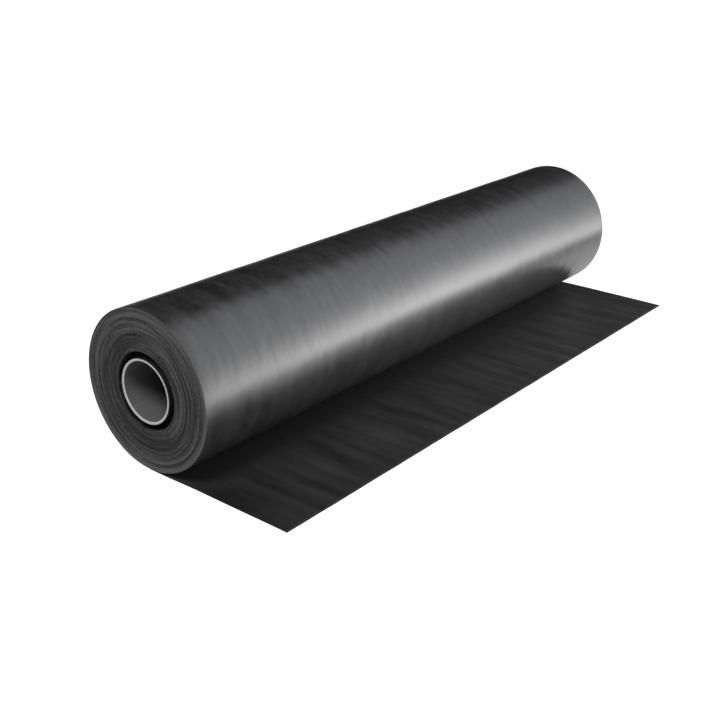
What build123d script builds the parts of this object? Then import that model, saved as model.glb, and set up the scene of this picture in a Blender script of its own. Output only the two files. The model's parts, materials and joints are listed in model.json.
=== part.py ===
from build123d import *
import os
from math import radians, sin, sqrt

# A roll of black construction film on a core tube, lying on the floor with its loose end unrolled.
#
# The roll lies along X. Its film leaves the underside of the roll and runs forward, towards -Y, flat on
# the floor at Z = 0. The origin is on the floor, at the middle of the space that roll and loose end take.

# Driving dimensions, in millimetres
film_width = 1000.0  # the film's width, and so the roll's length
film_thickness = 0.5
roll_diameter = 218.0
loose_length = 236.0  # film lying in front, from the line where it leaves the roll
core_bore = 80.0
core_wall = 4.0
core_edge_radius = 1.2  # rounding of the tube's rims
winding_clearance = 0.1  # between the tube and the first turn
recess_width = 8.2  # ring round the tube where the first turns stand back from the ends
recess_depth = 32.0
recess_slope = 6.0  # how much further back the innermost of those turns stand
band_width = 3.6  # a group of turns that stands in or out on the roll's ends
band_setback = 0.2  # of the group that stands out most
band_swing = 0.9  # how much further in the deepest group stands
flush_width = 5.0  # the outermost turns, which end in line with each other
cut_overrun = 5.0

# From one group of turns to the next, in degrees: it never comes round again, so the groups look uneven
band_step_angle = 137.5

# Sizes that follow from those
half_width = film_width / 2
roll_radius = roll_diameter / 2
core_radius = core_bore / 2 + core_wall
winding_radius = core_radius + winding_clearance
recess_radius = core_radius + recess_width
flush_radius = roll_radius - flush_width
axis_y = (loose_length - roll_radius) / 2
front_y = axis_y - loose_length

# The roll's axis, and a plane through it: there X runs along the roll and Y is the distance from the axis
roll_axis = Axis((0, axis_y, roll_radius), (1, 0, 0))
section_plane = Plane(origin=(0, axis_y, roll_radius), x_dir=(1, 0, 0), z_dir=(0, -1, 0))


def end_steps():
    """Points along one end of the roll, from the recess outwards, where each group of turns is a step."""
    count = max(1, round((flush_radius - recess_radius) / band_width))
    step = (flush_radius - recess_radius) / count
    points = []
    for index in range(count):
        setback = band_setback + band_swing * (1 + sin(radians(index * band_step_angle))) / 2
        radius = recess_radius + index * step
        points += [(half_width - setback, radius), (half_width - setback, radius + step)]
    return points


# Film: the wound turns and the loose end are one continuous sheet
with BuildPart() as film:
    # End view: the round roll runs out at its underside into the flat loose end
    with BuildSketch(Plane.YZ):
        with BuildLine():
            contact = (axis_y, 0)
            meeting_y = axis_y - sqrt(roll_radius**2 - (roll_radius - film_thickness) ** 2)
            meeting = (meeting_y, film_thickness)
            Polyline(contact, (front_y, 0), (front_y, film_thickness), meeting)
            ThreePointArc(meeting, (axis_y, roll_diameter), contact)
        make_face()
    extrude(amount=half_width, both=True)
    # The bore, the ring round the tube and the stepped ends are turned about the roll's axis
    with BuildSketch(section_plane):
        with BuildLine():
            Polyline(
                (0, 0),
                (0, winding_radius),
                (half_width - recess_depth - recess_slope, winding_radius),
                (half_width - recess_depth, recess_radius),
                *end_steps(),
                (half_width + cut_overrun, flush_radius),
                (half_width + cut_overrun, 0),
                close=True,
            )
        make_face()
        mirror(about=Plane.YZ)
    revolve(axis=roll_axis, mode=Mode.SUBTRACT)

# Core: a thin-walled tube as long as the film is wide, with rounded rims
with BuildPart() as core_tube:
    with BuildSketch(Plane.YZ):
        with Locations((axis_y, roll_radius)):
            Circle(core_radius)
            Circle(core_bore / 2, mode=Mode.SUBTRACT)
    extrude(amount=half_width, both=True)
    fillet(core_tube.edges().filter_by(GeomType.CIRCLE), radius=core_edge_radius)

film.part.label = "film"
core_tube.part.label = "core_tube"
os.makedirs("parts", exist_ok=True)
export_step(film.part, "parts/film.step")
export_step(core_tube.part, "parts/core_tube.step")
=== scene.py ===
import json
import math

import bpy
import numpy as np
from bpy.props import FloatProperty, FloatVectorProperty, PointerProperty
from mathutils import Matrix, Vector


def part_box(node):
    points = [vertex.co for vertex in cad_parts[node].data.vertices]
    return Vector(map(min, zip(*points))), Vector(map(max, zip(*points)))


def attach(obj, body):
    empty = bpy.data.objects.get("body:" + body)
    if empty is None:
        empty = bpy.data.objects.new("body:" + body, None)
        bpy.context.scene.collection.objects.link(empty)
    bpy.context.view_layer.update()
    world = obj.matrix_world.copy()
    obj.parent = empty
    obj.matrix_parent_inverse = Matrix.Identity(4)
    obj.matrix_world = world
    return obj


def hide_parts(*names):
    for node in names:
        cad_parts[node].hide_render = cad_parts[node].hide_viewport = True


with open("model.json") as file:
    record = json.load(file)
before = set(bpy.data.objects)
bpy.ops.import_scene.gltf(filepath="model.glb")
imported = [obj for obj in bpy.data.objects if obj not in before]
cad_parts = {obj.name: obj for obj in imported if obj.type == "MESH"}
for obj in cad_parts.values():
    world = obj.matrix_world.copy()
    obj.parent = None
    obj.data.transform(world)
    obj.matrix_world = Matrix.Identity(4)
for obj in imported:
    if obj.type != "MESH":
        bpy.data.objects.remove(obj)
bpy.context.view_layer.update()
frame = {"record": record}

bl_info = {
    "name": "Roll of construction film",
    "version": (1, 0, 0),
    "blender": (4, 5, 0),
    "location": "View3D > Sidebar > Film roll",
    "description": "Winds a roll of black film on its core tube, with the loose end laid out in front",
    "category": "Add Mesh",
}

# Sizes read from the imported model, in metres
core_mount = next(m for m in frame["record"]["mounts"] if m["name"] == "core_bore")
film_low, film_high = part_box("film")
AXIS_Y = core_mount["pos_m"][1]
ROLL_RADIUS = core_mount["pos_m"][2]
FILM_WIDTH = film_high.x - film_low.x
FRONT_Y = film_low.y
BORE_RADIUS = core_mount["dims"]["r_mm"] / 1000

# The tube's wall, the clearance round the tube and the ring where the first turns stand back, in metres
CORE_WALL = 0.004
CORE_RADIUS = BORE_RADIUS + CORE_WALL
WINDING_CLEARANCE = 0.0001
RECESS_WIDTH = 0.0082

# From one group of turns to the next: it never comes round again, so the groups look uneven
BAND_STEP_ANGLE = math.radians(137.5)

# How many faces go round the roll and round the tube
ROLL_FACES_ROUND = 240
CORE_FACES_ROUND = 192

# Starting points of the random waves in the winding and in the loose end
WINDING_SEED = 7
RIPPLE_SEED = 11

# The arch of soft light, in metres: where its ellipse is centred, how far it reaches and how high it is
ARCH_CENTRE_Y = 0.35
ARCH_REACH = 0.95
ARCH_HEIGHT = 1.2


class FilmSettings(bpy.types.PropertyGroup):
    """Sizes and colours of the wound film and its loose end."""

    width: FloatProperty(
        name="Film width", description="Width of the film, and so the roll's length",
        default=FILM_WIDTH, min=0.1, unit="LENGTH")
    roll_radius: FloatProperty(
        name="Roll radius", description="From the roll's axis to its outermost turn",
        default=ROLL_RADIUS, min=0.06, unit="LENGTH")
    thickness: FloatProperty(
        name="Thickness", description="Thickness of the film",
        default=0.0005, min=0.00005, unit="LENGTH")
    winding_radius: FloatProperty(
        name="Winding radius", description="From the axis to the first turn on the tube",
        default=CORE_RADIUS + WINDING_CLEARANCE, min=0.01, unit="LENGTH")
    recess_radius: FloatProperty(
        name="Recess radius", description="Outer radius of the ring where the first turns stand back",
        default=CORE_RADIUS + RECESS_WIDTH, min=0.02, unit="LENGTH")
    recess_depth: FloatProperty(
        name="Recess depth", description="How far the first turns stand back from the ends",
        default=0.032, min=0.0, unit="LENGTH")
    recess_slope: FloatProperty(
        name="Recess slope", description="How much further back the innermost turns stand",
        default=0.006, min=0.0, unit="LENGTH")
    flush_width: FloatProperty(
        name="Flush width", description="Width of the outermost turns, which end in line",
        default=0.005, min=0.0, unit="LENGTH")
    band_width: FloatProperty(
        name="Band width", description="Width of a group of turns that stands in or out on the ends",
        default=0.0036, min=0.001, unit="LENGTH")
    band_setback: FloatProperty(
        name="Band setback", description="How far in the proudest group stands",
        default=0.0002, min=0.0, unit="LENGTH")
    band_swing: FloatProperty(
        name="Band swing", description="How much further in the deepest group stands",
        default=0.0009, min=0.0, unit="LENGTH")
    wander: FloatProperty(
        name="Wander", description="How far the turns' edges wander in and out as they go round",
        default=0.0005, min=0.0, unit="LENGTH")
    wobble: FloatProperty(
        name="Wobble", description="How far the groups of turns are out of round",
        default=0.0007, min=0.0, unit="LENGTH")
    edge_rounding: FloatProperty(
        name="Edge rounding", description="Rounding of the roll's outer edges",
        default=0.0009, min=0.0001, unit="LENGTH")
    gauge_dip: FloatProperty(
        name="Gauge bands", description="Depth of the soft hoops and dents in the outermost turn",
        default=0.0004, min=0.0, unit="LENGTH")
    ripple: FloatProperty(
        name="Ripple", description="Height of the ripples in the loose end",
        default=0.0012, min=0.0, unit="LENGTH")
    face_colour: FloatVectorProperty(
        name="Film face", description="Colour of the film's outer face, on the roll",
        default=(0.0215, 0.0215, 0.0218), min=0.0, max=1.0, subtype="COLOR")
    inner_colour: FloatVectorProperty(
        name="Inner face", description="Colour of the film's inner face, on top of the loose end",
        default=(0.0115, 0.0115, 0.0116), min=0.0, max=1.0, subtype="COLOR")
    edge_colour: FloatVectorProperty(
        name="Film edges", description="Colour of the film's cut edges, on the roll's ends",
        default=(0.036, 0.036, 0.0366), min=0.0, max=1.0, subtype="COLOR")


class CoreSettings(bpy.types.PropertyGroup):
    """Sizes and colours of the core tube."""

    bore_radius: FloatProperty(
        name="Bore radius", description="Inner radius of the tube",
        default=BORE_RADIUS, min=0.005, unit="LENGTH")
    wall: FloatProperty(
        name="Wall", description="Thickness of the tube's wall",
        default=CORE_WALL, min=0.0005, unit="LENGTH")
    rim_rounding: FloatProperty(
        name="Rim rounding", description="Rounding of the tube's rims",
        default=0.0012, min=0.0001, unit="LENGTH")
    # Painted shade: the tube's outer wall, deep in the narrow gap under the film, gets a near-black colour
    # for the shade there
    outside_shade_colour: FloatVectorProperty(
        name="Tube outside", description="Colour of the tube's outer wall",
        default=(0.012, 0.012, 0.012), min=0.0, max=1.0, subtype="COLOR")
    wall_colour: FloatVectorProperty(
        name="Tube inside", description="Colour of the tube's inner wall",
        default=(0.1, 0.1, 0.103), min=0.0, max=1.0, subtype="COLOR")
    rim_colour: FloatVectorProperty(
        name="Tube rim", description="Colour of the tube's cut rims",
        default=(0.5, 0.5, 0.5), min=0.0, max=1.0, subtype="COLOR")


class StageSettings(bpy.types.PropertyGroup):
    """The floor, the soft light and the camera."""

    azimuth: FloatProperty(
        name="Azimuth", description="Where the camera stands, seen from above",
        default=math.radians(-51.52), subtype="ANGLE")
    elevation: FloatProperty(
        name="Elevation", description="How far the camera looks down",
        default=math.radians(23.16), subtype="ANGLE")
    roll: FloatProperty(
        name="Roll", description="How far the camera leans",
        default=math.radians(0.85), subtype="ANGLE")
    distance: FloatProperty(
        name="Distance", description="From the camera to the point that it looks at",
        default=1.683, min=0.1, unit="LENGTH")
    aim: FloatVectorProperty(
        name="Aim", description="The point that the camera looks at",
        default=(-0.0951, 0.0454, 0.0257), subtype="TRANSLATION")
    focal_length: FloatProperty(
        name="Focal length", description="Of the camera's lens, in millimetres",
        default=55.2, min=1.0)
    floor_colour: FloatVectorProperty(
        name="Floor", description="Colour of the floor",
        default=(0.4, 0.4, 0.4), min=0.0, max=1.0, subtype="COLOR")
    arch_level: FloatProperty(
        name="Arch level", description="How bright the arch of soft light is at its foot",
        default=4.4, min=0.0)
    end_light_level: FloatProperty(
        name="End light level", description="How bright the soft box at the roll's near end is",
        default=25.0, min=0.0)


class Wire:
    """One shader socket. Sums with numbers or other sockets, written as usual, add Math nodes."""

    def __init__(self, recipe, socket):
        self.recipe = recipe
        self.socket = socket

    def maths(self, operation, first, second):
        return self.recipe.node("ShaderNodeMath", {"operation": operation}, {0: first, 1: second})

    def __add__(self, other):
        return self.maths("ADD", self, other)

    def __radd__(self, other):
        return self.maths("ADD", other, self)

    def __sub__(self, other):
        return self.maths("SUBTRACT", self, other)

    def __rsub__(self, other):
        return self.maths("SUBTRACT", other, self)

    def __mul__(self, other):
        return self.maths("MULTIPLY", self, other)

    def __rmul__(self, other):
        return self.maths("MULTIPLY", other, self)

    def __truediv__(self, other):
        return self.maths("DIVIDE", self, other)

    def __rtruediv__(self, other):
        return self.maths("DIVIDE", other, self)

    def clamped(self):
        return self.recipe.node("ShaderNodeClamp", {}, {"Value": self})


class Recipe:
    """The node tree of a material or of the world, which starts empty."""

    def __init__(self, tree):
        self.tree = tree
        tree.nodes.clear()

    def node(self, kind, settings=None, sockets=None, out=0):
        """Adds a node, sets its settings and then its sockets, and gives back one of its outputs."""
        made = self.tree.nodes.new(kind)
        for name, value in (settings or {}).items():
            setattr(made, name, value)
        for name, value in (sockets or {}).items():
            if isinstance(value, Wire):
                self.tree.links.new(value.socket, made.inputs[name])
            else:
                made.inputs[name].default_value = value
        return Wire(self, made.outputs[out]) if made.outputs else None

    def place(self, centre=(0, 0, 0), scale=(1, 1, 1)):
        """Object coordinates, counted from a centre and then scaled along each axis."""
        coordinates = self.node("ShaderNodeTexCoord", out="Object")
        shift = tuple(-c * s for c, s in zip(centre, scale))
        return self.node("ShaderNodeMapping", {}, {
            "Vector": coordinates, "Location": shift, "Scale": scale})

    def noise(self, vector, detail):
        """Soft noise between 0 and 1, about one lump for each unit of the vector."""
        return self.node("ShaderNodeTexNoise", {}, {"Vector": vector, "Scale": 1.0, "Detail": detail})

    def blend(self, factor, first, second):
        """One colour at factor 0 and another at factor 1. Each is a wire, or red, green, blue and alpha."""
        return self.node("ShaderNodeMix", {"data_type": "RGBA"}, {0: factor, 6: first, 7: second}, out=2)

    def bump(self, height, distance):
        """A normal for a surface that stands out by this distance, in metres, where the height is 1."""
        return self.node("ShaderNodeBump", {}, {"Height": height, "Distance": distance, "Strength": 1.0})

    def surface(self, shader):
        """Makes a shader the material's surface."""
        self.node("ShaderNodeOutputMaterial", {}, {"Surface": shader})


def new_material(name):
    """An empty material and its recipe."""
    material = bpy.data.materials.new(name)
    material.use_nodes = True
    return material, Recipe(material.node_tree)


def scaled(colour, factor):
    """A colour, lightened or darkened by a factor, as red, green, blue and alpha."""
    return (*(min(1.0, c * factor) for c in colour), 1.0)


def film_face_material(settings):
    """Black film, satin, with fine streaks along the way it was wound and faint cloudy patches of gloss."""
    material, recipe = new_material("film_face")
    dents = recipe.noise(recipe.place(scale=(48, 20, 20)), detail=2.0)
    streaks = recipe.noise(recipe.place(scale=(90, 12, 12)), detail=1.0)
    clouds = recipe.noise(recipe.place(scale=(9, 6, 6)), detail=2.0)
    specks = recipe.noise(recipe.place(scale=(150, 90, 90)), detail=0.0)
    shade = (streaks * 1.5 + specks * 0.7 - 0.6).clamped()
    colour = recipe.blend(shade, scaled(settings.face_colour, 0.5), scaled(settings.face_colour, 1.5))
    roughness = 0.262 + clouds * 0.03 + streaks * 0.06
    relief = recipe.bump(dents, distance=0.0008)
    recipe.surface(recipe.node("ShaderNodeBsdfPrincipled", {}, {
        "Base Color": colour, "Roughness": roughness, "Normal": relief,
        "IOR": 1.54, "Specular IOR Level": 1.0}))
    return material


def film_inner_material(settings):
    """The film's inner face, which the loose end shows: dull black with soft streaks the way it was wound.

    Close to the roll, where the roll shades it, it is painted lighter: painted light that makes up for part
    of that shade.
    """
    material, recipe = new_material("film_inner_face")
    streaks = recipe.noise(recipe.place(scale=(50, 6, 6)), detail=2.0)
    blotches = recipe.noise(recipe.place(scale=(16, 12, 12)), detail=3.0)
    tone = (streaks * 2.4 + blotches * 0.9 - 1.15).clamped()
    y = recipe.node("ShaderNodeSeparateXYZ", {}, {"Vector": recipe.place()}, out="Y")
    # Painted light: the inner face is lighter close to the roll, to offset the roll's shade there
    painted_light_front = 0.055
    painted_light_ramp = 10
    painted_light = ((y + painted_light_front) * painted_light_ramp).clamped()
    plain = recipe.blend(tone, scaled(settings.inner_colour, 0.5), scaled(settings.inner_colour, 1.75))
    colour = recipe.blend(painted_light, plain, scaled(settings.inner_colour, 2.6))
    relief = recipe.bump(streaks, distance=0.0009)
    recipe.surface(recipe.node("ShaderNodeBsdfPrincipled", {}, {
        "Base Color": colour, "Roughness": 0.62 - tone * 0.2, "Normal": relief, "Specular IOR Level": 0.3}))
    return material


def film_edge_material(settings):
    """The film's cut edges: dull rings, darker towards the tube, with a painted highlight along the outer
    edge.
    """
    material, recipe = new_material("film_edges")
    spoke = recipe.place(centre=(0, AXIS_Y, settings.roll_radius), scale=(0, 1, 1))
    radius = recipe.node("ShaderNodeVectorMath", {"operation": "LENGTH"}, {0: spoke}, out="Value")
    heading = recipe.node("ShaderNodeVectorMath", {"operation": "NORMALIZE"}, {0: spoke})

    def rings(turns_per_metre, lobes, start):
        """Noise that is stretched round the axis: it changes quickly with the radius, slowly round it."""
        along = recipe.node("ShaderNodeCombineXYZ", {}, {
            "X": radius * turns_per_metre, "Y": start[0], "Z": start[1]})
        around = recipe.node("ShaderNodeVectorMath", {"operation": "SCALE"}, {0: heading, "Scale": lobes})
        both = recipe.node("ShaderNodeVectorMath", {"operation": "ADD"}, {0: along, 1: around})
        return recipe.noise(both, detail=1.5) - 0.5

    groups = rings(170, 0.6, (18, 0))
    bundles = rings(430, 1.0, (9.5, 18.5))
    turns = rings(1400, 1.8, (0, 0))
    grain = recipe.noise(recipe.place(scale=(300, 300, 300)), detail=1.0) - 0.5
    outwards = (radius - settings.recess_radius) / (settings.roll_radius - settings.recess_radius)
    # Painted highlight: the outermost ring of each end is made pale, where the outer turn's edge catches
    # the light
    highlight_width = 0.0014
    highlight_ramp = 1400
    painted_highlight = ((radius - settings.roll_radius + highlight_width) * highlight_ramp).clamped()
    # The bundles and turns also set the bump, so where they sit low they are darker: partly the turns' own
    # tone, partly painted shade in the grooves between turns
    tone = (0.13 + outwards * 0.46 + groups * 2.4 + bundles * 2.3 + turns * 0.8 + grain).clamped()
    plain = recipe.blend(tone, scaled(settings.edge_colour, 0.2), scaled(settings.edge_colour, 2.2))
    colour = recipe.blend(painted_highlight * 0.8, plain, scaled(settings.edge_colour, 3.1))
    relief = recipe.bump(bundles + turns * 0.4, distance=0.0006)
    recipe.surface(recipe.node("ShaderNodeBsdfPrincipled", {}, {
        "Base Color": colour, "Roughness": 0.55, "Normal": relief, "Specular IOR Level": 0.2}))
    return material


def core_material(settings):
    """Grey extruded plastic with faint draw lines along it, pale and a little scuffed on its cut rims."""
    material, recipe = new_material("core_plastic")
    rim = recipe.node("ShaderNodeAttribute", {"attribute_name": "rim"}, out="Fac")
    inside = recipe.node("ShaderNodeAttribute", {"attribute_name": "inside"}, out="Fac")
    lines = recipe.noise(recipe.place(scale=(4, 260, 260)), detail=2.0)
    scuffs = recipe.noise(recipe.place(scale=(300, 300, 300)), detail=3.0)
    bore = recipe.blend(lines, scaled(settings.wall_colour, 0.8), scaled(settings.wall_colour, 1.2))
    # Painted shade: the outer wall takes the near-black colour, for the shade in the gap under the film
    shaded_outside = recipe.blend(lines, scaled(settings.outside_shade_colour, 0.8), scaled(settings.outside_shade_colour, 1.2))
    walls = recipe.blend(inside, shaded_outside, bore)
    rims = recipe.blend(scuffs, scaled(settings.rim_colour, 0.8), scaled(settings.rim_colour, 1.2))
    colour = recipe.blend(rim, walls, rims)
    relief = recipe.bump(lines + scuffs * 0.5, distance=0.0001)
    recipe.surface(recipe.node("ShaderNodeBsdfPrincipled", {}, {
        "Base Color": colour, "Roughness": 0.42 + scuffs * 0.12, "Normal": relief,
        "Specular IOR Level": 0.3}))
    return material


def stretch(first, last, count):
    """Evenly spaced (x, radius) points from first to last, without the last one."""
    share = np.arange(count)[:, None] / count
    return np.array(first) + (np.array(last) - np.array(first)) * share


def corner(centre, rounding, start, count):
    """A quarter circle of points about a centre, from an angle down by 90 degrees, without the last one."""
    angle = start - np.pi / 2 * np.arange(count) / count
    return np.array(centre) + rounding * np.stack([np.cos(angle), np.sin(angle)], axis=1)


def turned_points(x, radius, angle):
    """A turned surface: (x, radius) carried round the roll's axis by an angle that starts at the front."""
    y = AXIS_Y - radius * np.cos(angle)
    z = ROLL_RADIUS + radius * np.sin(angle)
    return np.stack([x + 0 * angle, y, z], axis=-1)


def grid_faces(rows, columns, wrap_rows=False, wrap_columns=False):
    """Four-sided faces between neighbouring points of a grid, which may close on itself either way."""
    row, column = np.meshgrid(
        np.arange(rows if wrap_rows else rows - 1),
        np.arange(columns if wrap_columns else columns - 1), indexing="ij")
    next_row = (row + 1) % rows
    next_column = (column + 1) % columns
    faces = [row * columns + column, next_row * columns + column,
             next_row * columns + next_column, row * columns + next_column]
    return np.stack(faces, axis=-1).reshape(-1, 4)


def wave_sum(generator, along, around, lengths, lobes, count):
    """A sum of cosine waves over a surface, scaled to about -1 to 1.

    Each wave has its own length in the first direction, drawn between two limits, a whole number of lobes
    round the axis, and its own phase, so the pattern closes on itself.
    """
    total = np.zeros(np.broadcast(along, around).shape)
    for _ in range(count):
        length = np.exp(generator.uniform(np.log(lengths[0]), np.log(lengths[1])))
        lobe = generator.integers(lobes[0], lobes[1] + 1)
        phase = generator.uniform(0, 2 * np.pi)
        sense = generator.choice([-1, 1])
        total += np.cos(2 * np.pi * along / length + sense * lobe * around + phase)
    return np.clip(total / math.sqrt(2 * count), -1, 1)


def new_piece(name, points, faces, materials, face_material=None):
    """A smooth mesh object at the origin from arrays of points, faces and material numbers."""
    mesh = bpy.data.meshes.new(name)
    mesh.from_pydata(points.reshape(-1, 3).tolist(), [], faces.tolist())
    for material in materials:
        mesh.materials.append(material)
    if face_material is not None:
        mesh.polygons.foreach_set("material_index", face_material.astype(np.int32))
    mesh.polygons.foreach_set("use_smooth", np.ones(len(faces), dtype=bool))
    mesh.update()
    piece = bpy.data.objects.new(name, mesh)
    bpy.context.scene.collection.objects.link(piece)
    return piece


def set_values(piece, name, values):
    """Gives each point of a piece a value that its material can read by name."""
    attribute = piece.data.attributes.new(name, "FLOAT", "POINT")
    attribute.data.foreach_set("value", values.ravel().astype(np.float32))


def band_setback(settings, radius):
    """How far each group of turns stands back from the end, by radius.

    Each group's depth follows a sine that moves on by the same angle from group to group. A group leans
    over into the next one across most of its width, and the outermost turns are flush.
    """
    flush_radius = settings.roll_radius - settings.flush_width
    count = round((flush_radius - settings.recess_radius) / settings.band_width)
    step = (flush_radius - settings.recess_radius) / count
    place = (radius - settings.recess_radius) / step
    group = np.floor(place)
    level_share = 0.3
    lean = np.clip((place - group - level_share) / (1 - level_share), 0, 1)
    level = np.sin(BAND_STEP_ANGLE * group)
    next_level = np.sin(BAND_STEP_ANGLE * (group + 1))
    depth = settings.band_setback + settings.band_swing * (1 + level + (next_level - level) * lean) / 2
    return depth * np.clip((flush_radius - radius) / (step / 2), 0, 1)


def film_roll_outline(settings):
    """The wound film's outline as (x, radius) points.

    It runs along the outermost turn, over the rounded edge, in across the turns' edges, down into the ring
    round the tube, along the bore and back by the other end.
    """
    half = settings.width / 2
    edge = settings.edge_rounding
    outer = settings.roll_radius
    ring_floor = half - settings.recess_depth
    bore_start = ring_floor - settings.recess_slope
    half_outline = np.concatenate([
        stretch((0, outer), (half - edge, outer), 52),
        corner((half - edge, outer - edge), edge, np.pi / 2, 4),
        stretch((half, outer - edge), (half, settings.recess_radius), 104),
        stretch((half, settings.recess_radius), (ring_floor, settings.recess_radius), 8),
        stretch((ring_floor, settings.recess_radius), (bore_start, settings.winding_radius), 6),
        np.array([[bore_start, settings.winding_radius]]),
    ])
    mirrored = half_outline[:0:-1] * (-1, 1)
    return np.concatenate([half_outline, mirrored])


def film_roll_surface(settings):
    """The wound film as one closed turned surface, with the number of its material for each face.

    Its outline is carried round the axis. The outermost turn dips in soft hoops and dents, and on the ends
    groups of turns stand back and wander in and out.
    """
    half = settings.width / 2
    edge = settings.edge_rounding
    outer = settings.roll_radius
    outline = film_roll_outline(settings)
    angle = np.linspace(0, 2 * np.pi, ROLL_FACES_ROUND, endpoint=False)[None, :]
    x = outline[:, :1]
    radius = outline[:, 1:]

    generator = np.random.default_rng(WINDING_SEED)
    hoops = wave_sum(generator, x, 0 * angle, (0.07, 0.3), (0, 0), 10)
    dents = wave_sum(generator, x, angle, (0.05, 0.5), (2, 6), 14)
    on_wall = np.clip((radius - outer + 2 * edge) / edge, 0, 1)
    dip = settings.gauge_dip * (1 - 0.5 * hoops - 0.5 * dents) / 2
    rounds = radius - on_wall * dip

    past_recess = radius >= settings.recess_radius - edge
    on_end = np.clip((np.abs(x) - half + edge) / (edge / 2), 0, 1) * past_recess
    fade = np.clip((outer - radius) / settings.flush_width, 0, 1)
    wander = np.where(x > 0, wave_sum(generator, radius, angle, (0.004, 0.02), (0, 4), 18),
                      wave_sum(generator, radius, angle, (0.004, 0.02), (0, 4), 18))
    wobble = settings.wobble * wave_sum(generator, 0 * radius, angle, (1, 2), (1, 5), 6)
    setback = band_setback(settings, radius + wobble) + fade * settings.wander * (1 + wander) / 2
    places = x - np.sign(x) * on_end * setback
    points = turned_points(places, rounds, angle)
    faces = grid_faces(*points.shape[:2], wrap_rows=True, wrap_columns=True)
    on_side = np.minimum(radius[:, 0], np.roll(radius[:, 0], -1)) > outer - edge / 2
    return points, faces, np.repeat(np.where(on_side, 0, 1), angle.size)


def loose_end_surface(settings):
    """The loose end as a thin sheet, laid from under the roll to its cut front edge.

    Its height over the floor is a sum of low waves across its width, which are long in the direction the
    film was wound, start at nothing where the roll holds it and die down again towards the front edge.
    """
    generator = np.random.default_rng(RIPPLE_SEED)
    half = settings.width / 2
    x = np.linspace(-half, half, 221)[:, None]
    run = np.linspace(0, 1, 49)[None, :]
    y = AXIS_Y + (FRONT_Y - AXIS_Y) * run
    length = AXIS_Y - FRONT_Y
    waves = wave_sum(generator, x, np.pi * run, (0.045, 0.3), (0, 2), 22)
    held_length = 0.035
    rise_length = 0.05
    held = np.clip((run * length - held_length) / rise_length, 0, 1)
    lift = settings.ripple * held * (1 - 0.65 * run**3) * (1 + waves) / 2
    bottom = np.stack([x + 0 * run, y + 0 * x, lift], axis=-1)
    top = bottom + (0, 0, settings.thickness)
    rows, columns = lift.shape
    faces = grid_faces(rows, columns)
    number = np.arange(rows * columns).reshape(rows, columns)
    border = np.concatenate([number[0, :-1], number[:-1, -1], number[-1, :0:-1], number[:0:-1, 0]])
    next_border = np.roll(border, -1)
    count = rows * columns
    sides = np.stack([border, next_border, next_border + count, border + count], axis=1)
    points = np.concatenate([bottom.reshape(-1, 3), top.reshape(-1, 3)])
    return points, np.concatenate([faces, faces[:, ::-1] + count, sides])


def core_surface(settings, half):
    """The tube as one closed turned surface: outer wall, rounded rim, bore and the other rim.

    Each point also has two values for its material: how far it is on a cut rim, and whether it is inside.
    """
    inner = settings.bore_radius
    outer = inner + settings.wall
    edge = settings.rim_rounding
    half_outline = np.concatenate([
        stretch((0, outer), (half - edge, outer), 24),
        corner((half - edge, outer - edge), edge, np.pi / 2, 6),
        stretch((half, outer - edge), (half, inner + edge), 3),
        corner((half - edge, inner + edge), edge, 0, 6),
        stretch((half - edge, inner), (0, inner), 24),
        np.array([[0, inner]]),
    ])
    mirrored = half_outline[-2:0:-1] * (-1, 1)
    outline = np.concatenate([half_outline, mirrored])
    angle = np.linspace(0, 2 * np.pi, CORE_FACES_ROUND, endpoint=False)[None, :]
    points = turned_points(outline[:, :1], outline[:, 1:] + 0 * angle, angle)
    cut = np.clip((np.abs(outline[:, :1]) - half + edge) / (edge / 2), 0, 1)
    rim = cut * (outline[:, 1:] < outer - edge / 2) + 0 * angle
    inside = np.where(outline[:, 1:] < (inner + outer) / 2, 1.0, 0.0) + 0 * angle
    faces = grid_faces(*points.shape[:2], wrap_rows=True, wrap_columns=True)
    return points, faces, {"rim": rim, "inside": inside}


class FILM_OT_wind_roll(bpy.types.Operator):
    """Wind the film into a roll"""

    bl_idname = "film.wind_roll"
    bl_label = "Wind the roll"

    def execute(self, context):
        settings = context.scene.film_settings
        points, faces, face_material = film_roll_surface(settings)
        materials = [film_face_material(settings), film_edge_material(settings)]
        piece = new_piece("film_roll", points, faces, materials, face_material)
        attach(piece, "root")
        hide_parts("film")
        return {"FINISHED"}


class FILM_OT_lay_loose_end(bpy.types.Operator):
    """Lay the film's loose end in front of the roll"""

    bl_idname = "film.lay_loose_end"
    bl_label = "Lay the loose end"

    def execute(self, context):
        settings = context.scene.film_settings
        points, faces = loose_end_surface(settings)
        piece = new_piece("film_loose_end", points, faces, [film_inner_material(settings)])
        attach(piece, "root")
        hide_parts("film")
        AXIS_Y - FRONT_Y
        return {"FINISHED"}


class FILM_OT_cut_core(bpy.types.Operator):
    """Cut the core tube to the film's width"""

    bl_idname = "film.cut_core"
    bl_label = "Cut the core tube"

    def execute(self, context):
        settings = context.scene.core_settings
        points, faces, masks = core_surface(settings, context.scene.film_settings.width / 2)
        piece = new_piece("core", points, faces, [core_material(settings)])
        for name, mask in masks.items():
            set_values(piece, name, mask)
        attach(piece, "root")
        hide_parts("core_tube")
        return {"FINISHED"}


def background_rays(recipe):
    """1 for rays that show the background to the camera, less in gloss or through glass, else 0."""
    rays = ["Is Camera Ray", "Is Glossy Ray", "Is Transmission Ray"]
    camera, glossy, clear = (recipe.node("ShaderNodeLightPath", out=ray) for ray in rays)
    gloss_share = 0.7
    return (camera + (glossy + clear) * gloss_share).clamped()


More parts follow.
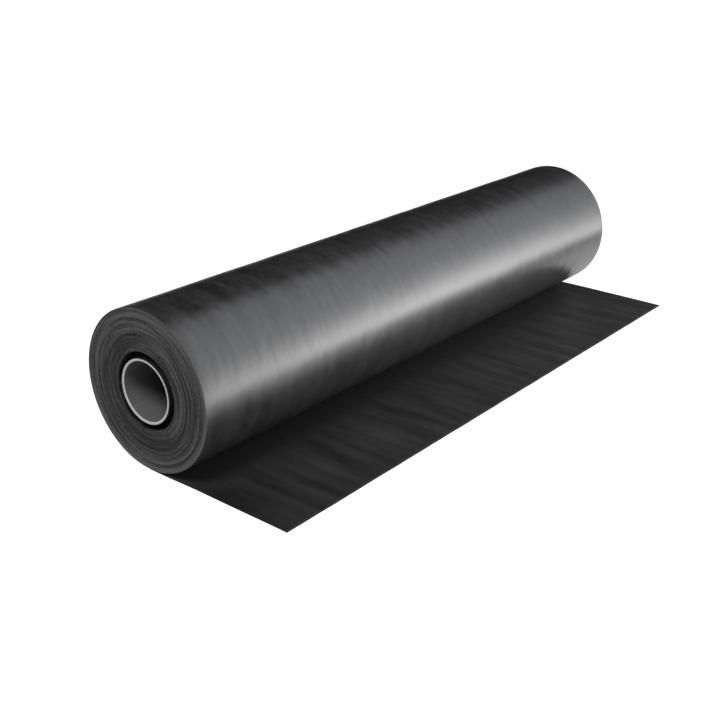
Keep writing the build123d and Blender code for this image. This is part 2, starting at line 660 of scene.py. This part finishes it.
def floor_material(settings):
    """Pale floor. Rays that show it directly see it lighter, so that it is white with soft shadows."""
    material, recipe = new_material("stage_floor")
    plain = recipe.node("ShaderNodeBsdfDiffuse", {}, {"Color": (*settings.floor_colour, 1.0)})
    white_lift = 0.9
    lift = recipe.node("ShaderNodeEmission", {}, {"Strength": background_rays(recipe) * white_lift})
    recipe.surface(recipe.node("ShaderNodeAddShader", {}, {0: plain, 1: lift}))
    return material


def arch_material():
    """Cloth of soft light. Each point has its own level, and the light is a little cooler higher up."""
    material, recipe = new_material("stage_arch")
    level = recipe.node("ShaderNodeAttribute", {"attribute_name": "level"}, out="Fac")
    height = recipe.node("ShaderNodeSeparateXYZ", {}, {0: recipe.place()}, out="Z")
    colour = recipe.blend((height * 2.5 - 0.4).clamped(), (1, 1, 1, 1), (0.95, 0.97, 1.03, 1))
    recipe.surface(recipe.node("ShaderNodeEmission", {}, {"Color": colour, "Strength": level}))
    return material


def arch_sheet(name, turn, x, level):
    """A sheet bent over the roll: half an ellipse across the roll, carried along it.

    The ellipse stands on the floor, with its middle behind the roll, and turn is counted from its front
    foot. Where turn is negative, the sheet lies on the floor and runs from the foot towards the roll.
    """
    floor_gap = 0.002
    y = ARCH_CENTRE_Y - ARCH_REACH * np.cos(turn) - np.minimum(turn, 0)
    z = ARCH_HEIGHT * np.sin(np.maximum(turn, 0)) + floor_gap
    points = np.stack([x + 0 * turn, y + 0 * x, z + 0 * x], axis=-1)
    sheet = new_piece(name, points, grid_faces(*points.shape[:2]), [arch_material()])
    set_values(sheet, "level", np.broadcast_to(level, points.shape[:2]))
    sheet.visible_camera = False
    sheet.visible_shadow = False
    return sheet


def light_arch(settings):
    """The lit front half of the arch: a wash that falls towards its top, and a bright strip at its foot.

    Both fall off towards the two sides. The strip leans down at both sides, and it widens to the right.
    """
    turn = np.radians(np.linspace(-20.8, 100, 122))[None, :]
    x = np.linspace(-1.6, 3.0, 47)[:, None]
    lean = np.interp(x, [-0.2, 0.3, 0.9, 1.5], [6, 0, 1, 10])
    spread = np.interp(x, [0.3, 1.2], [1.0, 1.35])
    degrees = np.degrees(turn) + lean
    wash = np.interp(degrees, [-20, -16, -12, -4, 24, 34, 50, 72, 80, 90],
                     [0.02, 0.08, 0.16, 0.29, 0.33, 0.29, 0.23, 0.19, 0.13, 0.0])
    wash_sides = np.interp(x, [-1.6, -0.6, 0.0, 0.4, 0.9, 1.5, 2.2, 3.0],
                           [0.0, 0.45, 0.9, 1.02, 0.95, 0.82, 0.6, 0.42])
    strip = np.interp(degrees / spread, [-20, -12, -6, 0, 8, 16, 24],
                      [0.0, 0.08, 0.42, 1.0, 0.54, 0.16, 0.0])
    strip_sides = np.interp(x, [-1.6, -0.6, 0.0, 0.3, 0.7, 1.1, 1.4, 2.2, 3.0],
                            [0.0, 0.3, 0.8, 1.02, 1.16, 0.9, 0.77, 0.4, 0.15])
    level = settings.arch_level * (wash * wash_sides + strip * strip_sides)
    arch_sheet("stage_arch", turn, x, level)


def dark_back():
    """The arch's unlit back half, which only gloss shows: it keeps the top of the roll dark."""
    turn = np.radians(np.linspace(100, 177, 12))[None, :]
    x = np.linspace(-1.5, 3.6, 4)[:, None]
    faint_level = np.array(0.01)
    back = arch_sheet("stage_back", turn, x, faint_level)
    back.visible_diffuse = False
    back.visible_transmission = False


def aim_at(obj, back, roll=0.0):
    """Turns a lamp or camera so that it looks along minus back, upright but for a lean by roll."""
    right = Vector((0, 0, 1)).cross(back).normalized()
    up = back.cross(right)
    leaning_right = math.cos(roll) * right + math.sin(roll) * up
    leaning_up = math.cos(roll) * up - math.sin(roll) * right
    obj.matrix_world = (Matrix.Translation(obj.location)
                        @ Matrix((leaning_right, leaning_up, back)).transposed().to_4x4())


def soft_box(name, place, target, size, level):
    """A square lamp that shines from a place towards a target. Level is how bright its face looks."""
    lamp = bpy.data.lights.new(name, "AREA")
    lamp.shape = "SQUARE"
    lamp.size = size
    lamp.energy = level * math.pi * size**2
    obj = bpy.data.objects.new(name, lamp)
    bpy.context.scene.collection.objects.link(obj)
    obj.location = place
    aim_at(obj, (Vector(place) - Vector(target)).normalized())
    obj.visible_camera = False
    obj.visible_glossy = False


def floor_sheet(settings):
    """A wide flat floor at the origin's height."""
    reach = 30.0
    corners = np.array([[-reach, -reach, 0], [reach, -reach, 0], [reach, reach, 0], [-reach, reach, 0]])
    floor = new_piece("stage_floor", corners, np.array([[0, 1, 2, 3]]), [floor_material(settings)])


def studio_world():
    """A faint even light from all round, which is white where it shows."""
    world = bpy.data.worlds.new("studio")
    world.use_nodes = True
    recipe = Recipe(world.node_tree)
    even_level = 0.3
    strength = even_level + background_rays(recipe) * (1 - even_level)
    light = recipe.node("ShaderNodeBackground", {}, {"Color": (1, 1, 1, 1), "Strength": strength})
    recipe.node("ShaderNodeOutputWorld", {}, {"Surface": light})
    return world


def stage_camera(settings):
    """A camera that looks at the aim point from its azimuth, elevation and distance."""
    camera = bpy.data.objects.new("camera", bpy.data.cameras.new("camera"))
    bpy.context.scene.collection.objects.link(camera)
    camera.data.lens = settings.focal_length
    back = Vector((math.sin(settings.azimuth) * math.cos(settings.elevation),
                   -math.cos(settings.azimuth) * math.cos(settings.elevation),
                   math.sin(settings.elevation)))
    camera.location = Vector(settings.aim) + back * settings.distance
    aim_at(camera, back, settings.roll)
    return camera


class FILM_OT_set_stage(bpy.types.Operator):
    """Set the floor, the soft light and the camera"""

    bl_idname = "film.set_stage"
    bl_label = "Set the stage"

    def execute(self, context):
        scene = context.scene
        settings = scene.stage_settings
        scene.view_settings.view_transform = "Standard"
        floor_sheet(settings)
        light_arch(settings)
        dark_back()
        lamp_place = (-1.18, -0.24, 1.4)
        lamp_size = 0.5
        near_end = (-FILM_WIDTH / 2, AXIS_Y, 0.1)
        soft_box("near_end_light", lamp_place, near_end, lamp_size, settings.end_light_level)
        scene.world = studio_world()
        scene.camera = stage_camera(settings)
        return {"FINISHED"}


class FILM_PT_roll(bpy.types.Panel):
    """Lists what makes the roll, its core and its stage"""

    bl_idname = "FILM_PT_roll"
    bl_label = "Film roll"
    bl_space_type = "VIEW_3D"
    bl_region_type = "UI"
    bl_category = "Film roll"

    def draw(self, context):
        for operator in OPERATORS:
            self.layout.operator(operator.bl_idname)


OPERATORS = (FILM_OT_wind_roll, FILM_OT_lay_loose_end, FILM_OT_cut_core, FILM_OT_set_stage)
GROUPS = {"film_settings": FilmSettings, "core_settings": CoreSettings, "stage_settings": StageSettings}
CLASSES = (*GROUPS.values(), *OPERATORS, FILM_PT_roll)


def register():
    """Registers the classes, and gives each scene its groups of settings."""
    for made in CLASSES:
        bpy.utils.register_class(made)
    for name, group in GROUPS.items():
        setattr(bpy.types.Scene, name, PointerProperty(type=group))


def unregister():
    """Takes the settings and the classes away again."""
    for name in GROUPS:
        delattr(bpy.types.Scene, name)
    for made in reversed(CLASSES):
        bpy.utils.unregister_class(made)


def main():
    """Makes the roll and its stage."""
    register()
    bpy.ops.film.wind_roll()
    bpy.ops.film.lay_loose_end()
    bpy.ops.film.cut_core()
    bpy.ops.film.set_stage()


if __name__ == "__main__":
    main()
